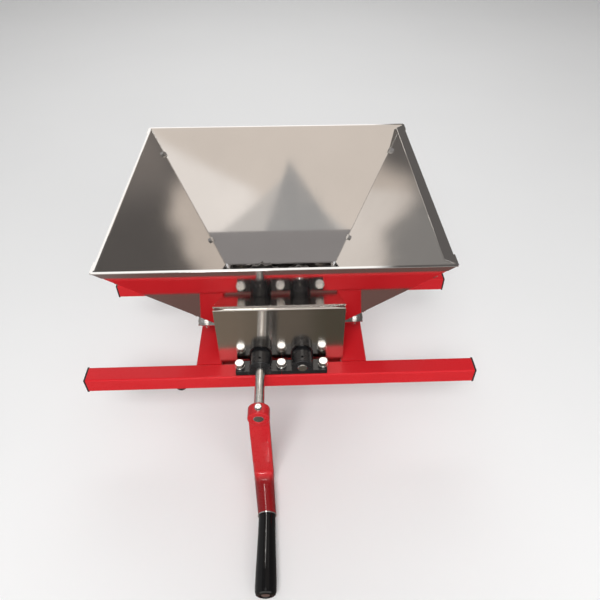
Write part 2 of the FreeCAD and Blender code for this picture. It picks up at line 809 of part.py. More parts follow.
def shaft(label, s, y0):
    body = new_body(label)
    sk = new_sketch(body, "YZ_Plane")
    j, c, e = D.journal_dia / 2, D.core_dia / 2, 0.6
    polygon(sk, [(y0, 0), (y0, j - e), (y0 + e, j), (D.shoulder_front, j), (D.shoulder_front, c),
                 (D.shoulder_rear, c), (D.shoulder_rear, j), (D.shaft_rear - e, j),
                 (D.shaft_rear, j - e), (D.shaft_rear, 0)])
    revolve(body, sk, "H_Axis")
    sk = new_sketch(body, "XZ_Plane", -D.hex_start)
    polygon(sk, hexagon(D.hex_flats))
    pad(body, sk, D.hex_end - D.hex_start, reverse=True)
    sk = new_sketch(body, "XY_Plane", 0)
    circle(sk, 0, D.pin_y, D.pin_dia / 2 + 0.02)
    pocket(body, sk, 40, both=True)
    place(body, D.shaft_x * s, 0, D.shaft_z)
    return body


shaft("drive_shaft", -1, D.drive_front)
shaft("driven_shaft", 1, D.driven_front)


# --------------------------------------------------------------- rotor stacks
TEETH = 16
# one wave of the disc's edge: angle in tooth pitches, height from root to tip
WAVE = ((0.00, 1.0), (0.16, 1.0), (0.30, 0.55), (0.42, 0.10), (0.58, 0.0), (0.76, 0.12), (0.90, 0.62))


def scalloped(phase):
    pts = []
    for k in range(TEETH):
        for u, up in WAVE:
            a = 2 * math.pi * (k + u) / TEETH + phase
            r = D.disc_root + (D.disc_radius - D.disc_root) * up
            pts.append((r * math.cos(a), r * math.sin(a)))
    return pts


def rotor(prefix, s, first, count):
    discs = new_body(prefix + "_rotor_discs", many=True)
    sk = new_sketch(discs, "XZ_Plane", -first)
    polygon(sk, scalloped(0.0))
    polygon(sk, hexagon(D.hex_flats + 0.1))
    p = pad(discs, sk, D.disc_sheet, reverse=True)
    pattern = discs.newObject("PartDesign::LinearPattern", fresh("Pattern"))
    pattern.Originals = [p]
    pattern.Direction = (origin_plane(discs, "Y_Axis"), [""])
    pattern.Occurrences = count
    pattern.Length = D.disc_pitch.v * (count - 1)
    bind(pattern, "Length", D.disc_pitch * (count - 1))
    discs.Tip = pattern
    doc.recompute()
    place(discs, D.shaft_x * s, 0, D.shaft_z)

    spacers = new_body(prefix + "_rotor_spacers", many=True)
    sk = new_sketch(spacers, "YZ_Plane")
    stops = [(D.stack_front, first)]
    for i in range(count - 1):
        stops.append((first + D.disc_pitch * i + D.disc_sheet, first + D.disc_pitch * (i + 1)))
    stops.append((first + D.disc_pitch * (count - 1) + D.disc_sheet, D.stack_rear))
    inner = D.hex_flats * (0.5 / math.cos(math.pi / 6)) + 0.2
    for a, b in stops:
        polygon(sk, box_points(a, b, inner, D.spacer_radius))
    revolve(spacers, sk, "H_Axis")
    place(spacers, D.shaft_x * s, 0, D.shaft_z)


rotor("drive", -1, D.drive_disc_first, 9)
rotor("driven", 1, D.driven_disc_first, 8)


# ---------------------------------------------------------------------- gears
def cell(alias):
    return float(sheet.get(alias))


def gear_outline(phase):
    teeth = int(round(cell("gear_teeth")))
    pitch_r = cell("shaft_x")
    module = 2 * pitch_r / teeth
    alpha = math.radians(20)
    base_r = pitch_r * math.cos(alpha)
    tip_r = pitch_r + module * 0.98
    root_r = pitch_r - module * 1.25
    inv = math.tan(alpha) - alpha
    half = math.pi / (2 * teeth) - cell("gear_backlash") / pitch_r

    def flank(r):
        if r < base_r:
            return half + inv
        t = math.acos(base_r / r)
        return half + inv - (math.tan(t) - t)

    radii = [root_r, base_r + 0.02] + [base_r + (tip_r - base_r) * k / 5.0 for k in range(1, 6)]
    pts = []
    for k in range(teeth):
        mid = 2 * math.pi * k / teeth + phase
        for r in radii:
            pts.append((r, mid - flank(r)))
        for r in reversed(radii):
            pts.append((r, mid + flank(r)))
    return [V(r * math.cos(a), 0, r * math.sin(a)) for r, a in pts]


def gear(label, s, phase):
    pts = gear_outline(phase)
    face = Part.Face(Part.makePolygon(pts + [pts[0]]))
    y0, w = cell("gear_front"), cell("gear_width")
    solid = face.extrude(V(0, w, 0))
    solid.translate(V(0, y0, 0))
    solid = solid.fuse(Part.makeCylinder(cell("gear_hub"), w / 2 + cell("gear_hub_length"),
                                         V(0, y0 + w / 2, 0), V(0, 1, 0)))
    solid = solid.cut(Part.makeCylinder(cell("core_dia") / 2 + 0.01, w + cell("gear_hub_length") + 4,
                                        V(0, y0 - 2, 0), V(0, 1, 0)))
    solid = solid.cut(Part.makeCylinder(cell("pin_dia") / 2 + 0.02, 60, V(0, cell("pin_y"), -30), V(0, 0, 1)))
    # a shallow recess lightens the web on the front
    web = Part.makeCylinder(17.5, 3, V(0, y0 - 0.5, 0), V(0, 1, 0)).cut(
        Part.makeCylinder(9.5, 3, V(0, y0 - 0.5, 0), V(0, 1, 0)))
    solid = solid.cut(web)
    obj = doc.addObject("Part::Feature", fresh(label))
    obj.Shape = solid.removeSplitter()
    obj.Placement = FreeCAD.Placement(V(cell("shaft_x") * s, 0, cell("shaft_z")), FreeCAD.Rotation())
    bind(obj, "Placement.Base.x", D.shaft_x * s)
    bind(obj, "Placement.Base.z", D.shaft_z)
    return keep(obj, label)


gear("drive_gear", -1, 0.0)
gear("driven_gear", 1, math.pi / round(D.gear_teeth.v))
for label, s in (("drive_gear_pin", -1), ("driven_gear_pin", 1)):
    keep(cylinder(D.pin_dia / 2, D.gear_hub * 2 - 0.6, (D.shaft_x * s, D.pin_y, D.shaft_z - D.gear_hub + 0.3),
                  "z", label), label)


# ---------------------------------------------------------------------- guard
guard = new_body("gear_guard")
sk = new_sketch(guard, "XZ_Plane", -D.guard_front)
w, t = D.guard_half, D.guard_sheet
inset = D.cross_inner - 0.4
outline = [(-w, D.guard_foot), (-inset, D.guard_foot), (-inset, D.guard_skirt),
           (-(D.shaft_x + D.arch_radius), D.guard_skirt)]
for cx in (-D.shaft_x, D.shaft_x):
    if cx.v > 0:
        outline.append((cx - D.arch_radius, D.guard_skirt))
    for k in range(0, 13):
        a = math.pi * (1 - k / 12.0)
        outline.append((cx + D.arch_radius * math.cos(a), D.arch_z + D.arch_radius * math.sin(a)))
    outline.append((cx + D.arch_radius, D.guard_skirt))
outline += [(inset, D.guard_skirt), (inset, D.guard_foot), (w, D.guard_foot), (w, D.guard_top), (-w, D.guard_top)]
polygon(sk, outline)
pad(guard, sk, t, reverse=True)
sk = new_sketch(guard, "XY_Plane", D.guard_top - t)
polygon(sk, [(-(w - 0.4), D.guard_front + t / 2), (w - 0.4, D.guard_front + t / 2),
             (w - 15, D.guard_front + D.guard_lip), (-(w - 15), D.guard_front + D.guard_lip)])
pad(guard, sk, t)
for s in (-1, 1):
    sk = new_sketch(guard, "YZ_Plane", (w - t) if s > 0 else -w)
    y0 = D.guard_front + t / 2
    polygon(sk, [(y0, D.guard_foot), (D.guard_back, D.guard_foot), (D.guard_back, 57),
                 (D.guard_front + D.guard_lip, D.guard_top - 2.4), (y0, D.guard_top - 2.4)])
    circle(sk, 35, 36, 2.2)
    pad(guard, sk, t)
screws, nuts = [], []
for s in (-1, 1):
    screws.append(hex_screw((w * s, 35, 36), "x" if s > 0 else "-x", 7, 2.6, 4.0, 8.6))
    nuts.append(hex_nut(((D.cross_inner - 0.2 - D.sheet_side) * s, 35, 36), "-x" if s > 0 else "x",
                        7, 3.0, 2.0))
group("guard_screws", screws)
group("guard_nuts", nuts)


# ---------------------------------------------------------------------- crank
crank = new_body("crank_arm")
sk = new_sketch(crank, "XZ_Plane", -D.hub_front)
circle(sk, 0, 0, D.hub_radius)
hub = pad(crank, sk, D.hub_length, reverse=True)
sk = new_sketch(crank, "XZ_Plane", -D.arm_front)
drop = -D.crank_radius
arm = [(-D.arm_root, 0), (-D.arm_root * 1.0, -6)]
for k in range(0, 13):
    a = math.pi * (1 + k / 12.0)
    arm.append((D.arm_side + D.arm_tip * math.cos(a), drop + D.arm_tip * math.sin(a)))
arm += [(D.arm_root * 1.0, -6), (D.arm_root, 0)]
polygon(sk, arm)
pad(crank, sk, D.arm_sheet, reverse=True)
lower = new_sketch(crank, "XZ_Plane", -D.arm_front - 0.0)
circle(lower, D.arm_side, drop, D.arm_tip - 0.2)
upper = new_sketch(crank, "XZ_Plane", -D.neck_front)
circle(upper, D.grip_side, drop, D.neck_radius)
loft(crank, lower, upper)
# a web fills the inner corner where the arm turns into the neck
ends = []
for y, half, low, side, top in ((D.arm_front, 11.2, 9.0, 14.5, 18.6), (D.arm_front - 8.5, 9.6, 7.6, 5.6, 10.6)):
    sk = new_sketch(crank, "XZ_Plane", -y)
    polygon(sk, [(D.arm_side - half, drop), (D.arm_side + half, drop), (D.arm_side + half, drop + side),
                 (D.arm_side + low, drop + top), (D.arm_side - low, drop + top), (D.arm_side - half, drop + side)])
    ends.append(sk)
loft(crank, ends[0], ends[1])
sk = new_sketch(crank, "XZ_Plane", 0)
circle(sk, 0, 0, D.journal_dia / 2 + 0.01)
pocket(crank, sk, 400, both=True)
sk = new_sketch(crank, "XZ_Plane", -D.neck_front)
circle(sk, D.grip_side, drop, D.spindle_radius + 0.02)
pocket(crank, sk, 24)
sk = new_sketch(crank, "XY_Plane", 30)
circle(sk, 0, D.hub_front + D.hub_length / 2, 2.02)
pocket(crank, sk, 27)
# a flat for the screw's head
sk = new_sketch(crank, "XY_Plane", D.hub_radius + 1)
circle(sk, 0, D.hub_front + D.hub_length / 2, 4.3)
f = pocket(crank, sk, 1.8)


def hub_rim(e):
    c = e.Curve
    return (c.TypeId == "Part::GeomCircle" and abs(c.Radius - D.hub_radius.v) < 0.01
            and abs(e.BoundBox.YMin - D.hub_front.v) < 0.01)


round_edges(crank, f, 0.8, hub_rim)
place(crank, -D.shaft_x, 0, D.shaft_z)

keep(hex_screw((-D.shaft_x, D.hub_front + D.hub_length / 2, D.shaft_z + D.hub_radius - 0.8), "z",
               6.6, 3.4, 4.0, D.hub_radius - D.journal_dia / 2 - 1.0), "crank_set_screw")

handle_x = D.grip_side - D.shaft_x
handle_z = D.shaft_z - D.crank_radius

spindle = new_body("handle_spindle")
sk = new_sketch(spindle, "YZ_Plane")
end = D.grip_front + 0.7
polygon(sk, [(D.neck_front + 22, 0), (D.neck_front + 22, D.spindle_radius), (end + 3.0, D.spindle_radius),
             (end + 3.0, 5.6), (end + 0.9, 5.6), (end, 4.4), (end, 0)])
revolve(spindle, sk, "H_Axis")
place(spindle, handle_x, 0, handle_z)

washer = new_body("handle_washer")
sk = new_sketch(washer, "YZ_Plane")
polygon(sk, box_points(D.neck_front - 1.3, D.neck_front - 0.02, D.spindle_radius + 0.05, D.neck_radius + 0.15))
revolve(washer, sk, "H_Axis")
place(washer, handle_x, 0, handle_z)

grip = new_body("handle_grip")
sk = new_sketch(grip, "YZ_Plane")
g0, g1 = D.grip_front, D.grip_rear
span = g1 - g0
polygon(sk, [(g1, D.spindle_radius + 0.08), (g1, D.grip_small - 0.5), (g1 - 0.5, D.grip_small),
             (g1 - span * 0.25, D.grip_small + 0.35), (g1 - span * 0.5, D.grip_small + 0.95),
             (g1 - span * 0.72, D.grip_large - 0.25), (g1 - span * 0.86, D.grip_large),
             (g0 + 4.0, D.grip_large - 0.1), (g0 + 1.6, D.grip_large - 1.0), (g0 + 0.5, D.grip_large - 2.6),
             (g0, D.grip_large - 4.4), (g0, 6.1), (g0 + 4.0, 6.1), (g0 + 4.0, D.spindle_radius + 0.08)])
revolve(grip, sk, "H_Axis")
place(grip, handle_x, 0, handle_z)

# ------------------------------------------- screw holes through hopper seams
doc.recompute()
for key, label in ((-1, "hopper_left_wall"), (1, "hopper_right_wall"),
                   ("f", "hopper_front_wall"), ("b", "hopper_back_wall")):
    body = [n for n in NODES if n.Label == label][0]
    tools = []
    for s in (-1, 1):
        for i, (at, rot) in enumerate(holes[s]):
            front = i < 2
            if key == s or (key == "f" and front) or (key == "b" and not front):
                tools.append(cylinder(1.8, 8, step_point(at, rot, -6), rot))
    cutter = doc.addObject("Part::Compound", fresh("SeamHoles"))
    cutter.Links = tools
    drilled = cut(body, cutter)
    drilled.Refine = False
    NODES[NODES.index(body)] = drilled
    body.Label = label + "_sheet"
    drilled.Label = label

doc.recompute()

# ---------------------------------------------------------------- test, export
for obj in doc.Objects:
    if "Invalid" in obj.State or "Error" in obj.State:
        raise RuntimeError("%s (%s) failed: %s" % (obj.Name, obj.Label, obj.State))
seen = set()
for obj in NODES:
    shape = obj.Shape
    if shape.isNull() or not shape.isValid() or not shape.Solids:
        raise RuntimeError("bad shape: " + obj.Label)
    if not re.fullmatch(r"[a-z0-9_]{1,59}", obj.Label) or obj.Label in seen:
        raise RuntimeError("bad label: " + obj.Label)
    seen.add(obj.Label)
if len(seen) > 60:
    raise RuntimeError("too many nodes")
for obj in NODES:
    obj.Shape.exportStep("parts/%s.step" % obj.Label)
    print("%-28s %2d solids %10.1f mm3" % (obj.Label, len(obj.Shape.Solids), obj.Shape.Volume))
print(len(NODES), "nodes")
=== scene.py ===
import math
import bmesh
import bpy
from mathutils import Matrix, Vector


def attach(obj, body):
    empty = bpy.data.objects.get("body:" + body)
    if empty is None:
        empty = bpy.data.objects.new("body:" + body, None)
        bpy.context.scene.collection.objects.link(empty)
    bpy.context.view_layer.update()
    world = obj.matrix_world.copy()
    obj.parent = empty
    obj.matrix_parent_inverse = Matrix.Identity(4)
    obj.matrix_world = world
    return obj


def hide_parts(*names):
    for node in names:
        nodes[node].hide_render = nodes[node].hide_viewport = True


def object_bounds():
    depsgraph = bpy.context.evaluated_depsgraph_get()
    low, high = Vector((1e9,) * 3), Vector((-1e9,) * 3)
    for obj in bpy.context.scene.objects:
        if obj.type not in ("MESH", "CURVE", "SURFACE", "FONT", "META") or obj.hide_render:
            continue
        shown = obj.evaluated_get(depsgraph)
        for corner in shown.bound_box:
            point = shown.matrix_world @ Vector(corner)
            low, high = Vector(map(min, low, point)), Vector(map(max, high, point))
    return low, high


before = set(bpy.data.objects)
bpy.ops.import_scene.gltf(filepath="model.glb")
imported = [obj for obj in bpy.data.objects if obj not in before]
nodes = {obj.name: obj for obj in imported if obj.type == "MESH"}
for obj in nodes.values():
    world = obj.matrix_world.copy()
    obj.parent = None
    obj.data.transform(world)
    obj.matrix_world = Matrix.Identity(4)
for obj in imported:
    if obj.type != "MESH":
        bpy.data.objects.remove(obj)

cad_lo, cad_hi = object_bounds()
scene = bpy.context.scene


# ------------------------------------------------------------------ camera
def look(camera, place, right, up, forward):
    m = Matrix((( right.x, up.x, -forward.x, place.x),
                ( right.y, up.y, -forward.y, place.y),
                ( right.z, up.z, -forward.z, place.z),
                (0, 0, 0, 1)))
    camera.matrix_world = m


cam_data = bpy.data.cameras.new("camera")
cam = bpy.data.objects.new("camera", cam_data)
scene.collection.objects.link(cam)
pitch, yaw = math.radians(42.01), math.radians(1.95)
forward = Vector((math.sin(yaw) * math.cos(pitch), math.cos(yaw) * math.cos(pitch), -math.sin(pitch)))
right = Vector((math.cos(yaw), -math.sin(yaw), 0))
up = right.cross(forward)
look(cam, Vector((0.01345, -0.390, 0.50343)), right, up, forward)
cam_data.sensor_width = 36.0
cam_data.lens = 526.98 / 600 * 36.0
cam_data.shift_x = (300 - 304.66) / 600
cam_data.shift_y = (284.1 - 300) / 600
cam_data.clip_start, cam_data.clip_end = 0.01, 50
scene.camera = cam


# --------------------------------------------------------------- materials
class Mat:
    """a small hand for wiring a procedural material"""

    def __init__(self, name):
        self.m = bpy.data.materials.new(name)
        self.m.use_nodes = True
        self.t = self.m.node_tree
        self.t.nodes.clear()
        self.out = self.node("ShaderNodeOutputMaterial")
        self.b = self.node("ShaderNodeBsdfPrincipled")
        self.link(self.b.outputs[0], self.out.inputs[0])
        self.co = self.node("ShaderNodeTexCoord").outputs["Object"]
        self.height = None

    @classmethod
    def wrap(cls, material):
        m = cls.__new__(cls)
        m.m, m.t, m.height = material, material.node_tree, None
        m.b = [n for n in m.t.nodes if n.type == "BSDF_PRINCIPLED"][0]
        m.co = [n for n in m.t.nodes if n.type == "TEX_COORD"][0].outputs["Object"]
        return m

    def node(self, kind, **props):
        n = self.t.nodes.new(kind)
        for k, v in props.items():
            setattr(n, k, v)
        return n

    def link(self, a, b):
        self.t.links.new(a, b)

    def set(self, **values):
        for k, v in values.items():
            s = self.b.inputs[k.replace("_", " ")]
            s.default_value = v

    def stretch(self, scale):
        n = self.node("ShaderNodeMapping")
        n.inputs["Scale"].default_value = scale
        self.link(self.co, n.inputs["Vector"])
        return n.outputs[0]

    def noise(self, scale, detail=3.0, rough=0.5, stretch=None, distort=0.0):
        n = self.node("ShaderNodeTexNoise")
        n.inputs["Scale"].default_value = scale
        n.inputs["Detail"].default_value = detail
        n.inputs["Roughness"].default_value = rough
        n.inputs["Distortion"].default_value = distort
        self.link(self.stretch(stretch) if stretch else self.co, n.inputs["Vector"])
        return n.outputs["Fac"]

    def ramp(self, fac, stops, mode="LINEAR"):
        n = self.node("ShaderNodeValToRGB")
        n.color_ramp.interpolation = mode
        e = n.color_ramp.elements
        while len(e) < len(stops):
            e.new(0.5)
        for k, (p, c) in enumerate(stops):
            e[k].position = p
            e[k].color = (c, c, c, 1) if isinstance(c, (int, float)) else (*c, 1)
        self.link(fac, n.inputs[0])
        return n.outputs[0]

    def mix(self, fac, a, b):
        n = self.node("ShaderNodeMix", data_type="RGBA")
        if isinstance(fac, (int, float)):
            n.inputs[0].default_value = fac
        else:
            self.link(fac, n.inputs[0])
        for s, v in ((n.inputs[6], a), (n.inputs[7], b)):
            if isinstance(v, tuple):
                s.default_value = (*v, 1)
            else:
                self.link(v, s)
        return n.outputs[2]

    def math(self, op, a, b=None):
        n = self.node("ShaderNodeMath", operation=op)
        for s, v in ((n.inputs[0], a), (n.inputs[1], b)):
            if v is None:
                continue
            if isinstance(v, (int, float)):
                s.default_value = v
            else:
                self.link(v, s)
        return n.outputs[0]

    def bump(self, height, strength, distance):
        n = self.node("ShaderNodeBump")
        n.inputs["Strength"].default_value = strength
        n.inputs["Distance"].default_value = distance
        self.link(height, n.inputs["Height"])
        if self.height is not None:
            self.link(self.height, n.inputs["Normal"])
        self.height = n.outputs[0]
        self.link(self.height, self.b.inputs["Normal"])

    def edges(self, radius):
        """1 near a sharp edge, 0 on the open face"""
        bevel = self.node("ShaderNodeBevel", samples=4)
        bevel.inputs["Radius"].default_value = radius
        geo = self.node("ShaderNodeNewGeometry")
        dot = self.node("ShaderNodeVectorMath", operation="DOT_PRODUCT")
        self.link(bevel.outputs[0], dot.inputs[0])
        self.link(geo.outputs["Normal"], dot.inputs[1])
        return self.ramp(dot.outputs["Value"], [(0.80, 1.0), (0.985, 0.0)])

    def colour(self, c):
        self.link(c, self.b.inputs["Base Color"])

    def rough(self, r):
        self.link(r, self.b.inputs["Roughness"])


def mirror_steel(name, base, r_lo, r_hi, wave=0.0006, grain=(40, 900, 40), worn=0.06):
    """bright rolled sheet: faint grain, wipe marks, soft hollows, a dull rub at sharp edges"""
    m = Mat(name)
    m.set(Metallic=1.0)
    cloud = m.noise(9.0, 4.0, 0.55)
    fine = m.noise(1.0, 2.0, 0.6, stretch=grain)
    tint = m.ramp(cloud, [(0.3, tuple(0.94 * c for c in base)), (0.7, base)])
    spots = m.ramp(m.noise(150.0, 3.0, 0.7), [(0.70, 0.0), (0.80, 0.35)])
    m.colour(m.mix(spots, tint, tuple(0.80 * c for c in base)))
    smear = m.noise(26.0, 5.0, 0.65, distort=0.6)
    wipe = m.noise(1.0, 3.0, 0.6, stretch=(60, 14, 14), distort=0.3)
    both = m.math("ADD", m.math("MULTIPLY", smear, 0.5), m.math("MULTIPLY", wipe, 0.5))
    base_r = m.ramp(both, [(0.34, r_lo), (0.70, r_hi)])
    edge = m.edges(0.0012)
    m.rough(m.math("ADD", base_r, m.math("MULTIPLY", edge, worn)))
    m.bump(m.noise(4.2, 1.0, 0.4), 0.30, wave)
    m.bump(fine, 0.04, 0.00001)
    return m.m


def brushed_sheet(name, base):
    """sheet polished with strokes across X: crisp sideways, drawn out upwards"""
    m = Mat(name)
    m.set(Metallic=1.0, Anisotropic=0.85, Anisotropic_Rotation=0.25)
    strokes = m.noise(1.0, 3.0, 0.65, stretch=(14, 14, 2200))
    cloud = m.noise(16.0, 3.0, 0.6)
    m.colour(m.mix(m.ramp(cloud, [(0.3, 0.0), (0.75, 0.6)]), base, tuple(0.88 * c for c in base)))
    edge = m.edges(0.0012)
    both = m.math("ADD", m.math("MULTIPLY", strokes, 0.7), m.math("MULTIPLY", cloud, 0.3))
    m.rough(m.math("ADD", m.ramp(both, [(0.35, 0.11), (0.65, 0.15)]), m.math("MULTIPLY", edge, 0.08)))
    m.bump(strokes, 0.06, 0.00001)
    return m.m


def painted(name, base, dark):
    m = Mat(name)
    m.set(Metallic=0.0, IOR=1.45, Specular_IOR_Level=0.34, Coat_Weight=0.08, Coat_Roughness=0.08)
    tone = m.noise(14.0, 4.0, 0.6)
    speck = m.noise(900.0, 2.0, 0.5)
    m.colour(m.mix(m.ramp(tone, [(0.3, 0.0), (0.75, 0.35)]), base, dark))
    m.rough(m.ramp(speck, [(0.3, 0.26), (0.7, 0.32)]))
    m.bump(m.noise(120.0, 2.0, 0.5), 0.03, 0.00003)
    m.bump(speck, 0.03, 0.000008)
    return m.m


def crank_enamel(name, base, dark):
    """the same red under a clear gloss coat, darker on the neck in front of the strap"""
    material = painted(name, base, dark)
    m = Mat.wrap(material)
    m.set(Coat_Weight=0.7, Coat_Roughness=0.04, Coat_IOR=1.5)
    old = m.b.inputs["Base Color"].links[0].from_socket
    parts = m.node("ShaderNodeSeparateXYZ")
    m.link(m.co, parts.inputs[0])
    # darker red where object Y lies beyond about -74 mm, on the neck
    neck = m.node("ShaderNodeMapRange", interpolation_type="SMOOTHSTEP")
    m.link(parts.outputs[1], neck.inputs["Value"])
    neck.inputs["From Min"].default_value = -0.0735
    neck.inputs["From Max"].default_value = -0.0805
    m.colour(m.mix(m.math("MULTIPLY", neck.outputs[0], 0.9), old, tuple(0.38 * c for c in base)))
    return material


def moulded(name, base, r_lo, r_hi, grain=1400.0, coat=0.0):
    m = Mat(name)
    m.set(Metallic=0.0, IOR=1.47, Specular_IOR_Level=0.42, Coat_Weight=coat, Coat_Roughness=0.05)
    tone = m.noise(30.0, 3.0, 0.6)
    m.colour(m.mix(m.ramp(tone, [(0.3, 0.0), (0.8, 0.5)]), base, tuple(1.7 * c + 0.002 for c in base)))
    m.rough(m.ramp(m.noise(60.0, 4.0, 0.6), [(0.3, r_lo), (0.75, r_hi)]))
    m.bump(m.noise(grain, 2.0, 0.5), 0.10, 0.00005)
    return m.m


def turned(name, base, r_lo, r_hi, rings=2600.0, depth=0.00002):
    """steel turned or cut across Y: fine rings along the shaft"""
    m = Mat(name)
    m.set(Metallic=1.0)
    lines = m.noise(1.0, 2.0, 0.5, stretch=(30, rings, 30))
    tone = m.noise(45.0, 4.0, 0.6)
    m.colour(m.mix(m.ramp(tone, [(0.3, 0.0), (0.75, 0.6)]), base, tuple(0.72 * c for c in base)))
    m.rough(m.ramp(lines, [(0.3, r_lo), (0.7, r_hi)]))
    m.bump(lines, 0.25, depth)
    return m.m


def zinc(name):
    m = Mat(name)
    m.set(Metallic=1.0)
    tone = m.noise(240.0, 4.0, 0.65)
    m.colour(m.mix(m.ramp(tone, [(0.35, 0.0), (0.75, 0.8)]), (0.94, 0.94, 0.93), (0.78, 0.78, 0.78)))
    m.rough(m.ramp(m.noise(500.0, 3.0, 0.6), [(0.3, 0.14), (0.75, 0.28)]))
    m.bump(m.noise(1800.0, 2.0, 0.5), 0.15, 0.00003)
    return m.m


MATS = {
    "red_paint": painted("red_powder_coat", (0.66, 0.015, 0.022), (0.54, 0.011, 0.016)),
    "crank_paint": crank_enamel("red_crank_paint", (0.62, 0.014, 0.021), (0.50, 0.010, 0.015)),
    "cap_plastic": moulded("black_cap_plastic", (0.018, 0.018, 0.018), 0.40, 0.55),
    "stop_rubber": moulded("black_rubber", (0.020, 0.019, 0.018), 0.55, 0.75, 700.0),
    "hopper_sheet": mirror_steel("mirror_stainless", (0.83, 0.81, 0.79), 0.035, 0.085),
    "mill_sheet": mirror_steel("stainless_plate", (0.70, 0.68, 0.67), 0.16, 0.26),
    "guard_sheet": brushed_sheet("guard_stainless", (0.80, 0.76, 0.72)),
    "fastener": zinc("bright_zinc"),
    "block_nylon": moulded("black_nylon", (0.012, 0.012, 0.013), 0.20, 0.32, 1100.0, coat=0.2),
    "shaft_steel": turned("shaft_steel", (0.74, 0.74, 0.73), 0.16, 0.28),
    "rotor_steel": turned("rotor_stainless", (0.62, 0.61, 0.60), 0.24, 0.42, 60.0),
    "spacer_steel": turned("spacer_steel", (0.52, 0.52, 0.52), 0.28, 0.45),
    "gear_steel": turned("gear_steel", (0.40, 0.40, 0.41), 0.30, 0.48, 900.0),
    "grip_plastic": moulded("gloss_black_grip", (0.002, 0.002, 0.0025), 0.07, 0.11, 900.0, coat=0.35),
}
for o in nodes.values():
    for k, s in enumerate(o.material_slots):
        key = s.material.name.split(".")[0] if s.material else None
        if key in MATS:
            o.material_slots[k].material = MATS[key]


# ------------------------------------------------------------------ pieces
def new_piece(name, mesh, body, slot):
    o = bpy.data.objects.new(name, mesh)
    scene.collection.objects.link(o)
    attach(o, body)
    if not mesh.materials:
        mesh.materials.append(MATS[slot])
    return o


def remeshed(source, voxel):
    """an even quad skin over a CAD node, as a mesh of its own"""
    o = bpy.data.objects.new("skin", source.data.copy())
    scene.collection.objects.link(o)
    mod = o.modifiers.new("skin", "REMESH")
    mod.mode = "VOXEL"
    mod.voxel_size = voxel
    mod.use_smooth_shade = True
    bpy.context.view_layer.update()
    mesh = bpy.data.meshes.new_from_object(o.evaluated_get(bpy.context.evaluated_depsgraph_get()))
    bpy.data.objects.remove(o)
    return mesh


def soften(mesh, rounds, pick=None, weight=0.5):
    """pull each vertex towards the middle of its neighbours"""
    bm = bmesh.new()
    bm.from_mesh(mesh)
    chosen = [v for v in bm.verts if pick is None or pick(v.co)]
    for _ in range(rounds):
        bmesh.ops.smooth_vert(bm, verts=chosen, factor=weight, use_axis_x=True, use_axis_y=True, use_axis_z=True)
    bm.to_mesh(mesh)
    bm.free()


casting = remeshed(nodes["crank_arm"], 0.00075)
soften(casting, 3)
soften(casting, 60, lambda c: -0.0945 < c.y < -0.0705 and -0.096 < c.z < -0.060)
casting.materials.clear()
crank = new_piece("crank_casting", casting, "drive", "crank_paint")
crank.visible_glossy = False
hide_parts("crank_arm")


def bead(name, points, radius, body, slot, closed=False):
    """a thin rounded edge that follows corners given in millimetres"""
    curve = bpy.data.curves.new(name, "CURVE")
    curve.dimensions = "3D"
    curve.bevel_depth = radius / 1000
    curve.bevel_resolution = 3
    curve.use_fill_caps = True
    line = curve.splines.new("POLY")
    line.points.add(len(points) - 1)
    for p, co in zip(line.points, points):
        p.co = (*[c / 1000 for c in co], 1)
    line.use_cyclic_u = closed
    o = bpy.data.objects.new(name, curve)
    scene.collection.objects.link(o)
    bpy.context.view_layer.update()
    mesh = bpy.data.meshes.new_from_object(o.evaluated_get(bpy.context.evaluated_depsgraph_get()))
    bpy.data.objects.remove(o)
    for poly in mesh.polygons:
        poly.use_smooth = True
    mesh.materials.clear()
    return new_piece(name, mesh, body, slot)


RIM = 203.35
bead("front_rim_edge", [(-161.4, -38.0, RIM), (161.4, -38.0, RIM)], 0.62, "frame", "hopper_sheet")
bead("back_rim_edge", [(-161.4, 244.68, RIM), (161.4, 244.68, RIM)], 0.62, "frame", "hopper_sheet")
bead("left_rim_edge", [(-160.4, -36.6, RIM), (-160.4, 243.2, RIM)], 0.55, "frame", "hopper_sheet")
bead("right_rim_edge", [(160.4, -36.6, RIM), (160.4, 243.2, RIM)], 0.55, "frame", "hopper_sheet")
bead("right_lip_edge", [(159.0, -35.0, RIM), (151.4, -27.4, RIM), (151.4, 233.6, RIM), (159.0, 241.0, RIM)],
     0.50, "frame", "hopper_sheet")
bead("left_seam_edge", [(-158.9, 241.9, 203.2), (-73.4, 149.2, 57.4)], 0.48, "frame", "hopper_sheet")
bead("right_seam_edge", [(158.9, 241.9, 203.2), (73.4, 149.2, 57.4)], 0.30, "frame", "hopper_sheet")
bead("guard_lip_edge", [(-56.9, 14.75, 103.95), (56.9, 14.75, 103.95)], 0.42, "frame", "fastener")
bead("guard_left_edge", [(-71.3, 12.75, 103.9), (-71.3, 12.75, 20.8)], 0.40, "frame", "fastener")
bead("guard_right_edge", [(71.3, 12.75, 103.9), (71.3, 12.75, 20.8)], 0.40, "frame", "fastener")


# ------------------------------------------------------------------- stage
def stage_mat(name, c, r):
    m = Mat(name)
    m.colour(m.ramp(m.noise(3.0, 2.0), [(0.3, tuple(0.985 * v for v in c)), (0.7, c)]))
    m.set(Roughness=r)
    return m.m


bm = bmesh.new()
floor_z = cad_lo.z - 0.0005
ring = [(-6, -6), (6, -6), (6, 6), (-6, 6)]
bm.faces.new([bm.verts.new((x, y, floor_z)) for x, y in ring])
me = bpy.data.meshes.new("floor")
bm.to_mesh(me)
bm.free()
floor = bpy.data.objects.new("floor", me)
scene.collection.objects.link(floor)
me.materials.append(stage_mat("pale_floor", (0.94, 0.94, 0.94), 0.6))
floor.visible_glossy = False

world = bpy.data.worlds.new("studio")
scene.world = world
world.use_nodes = True
wt = world.node_tree
wt.nodes.clear()


def wnode(kind, **props):
    n = wt.nodes.new(kind)
    for k, v in props.items():
        setattr(n, k, v)
    return n


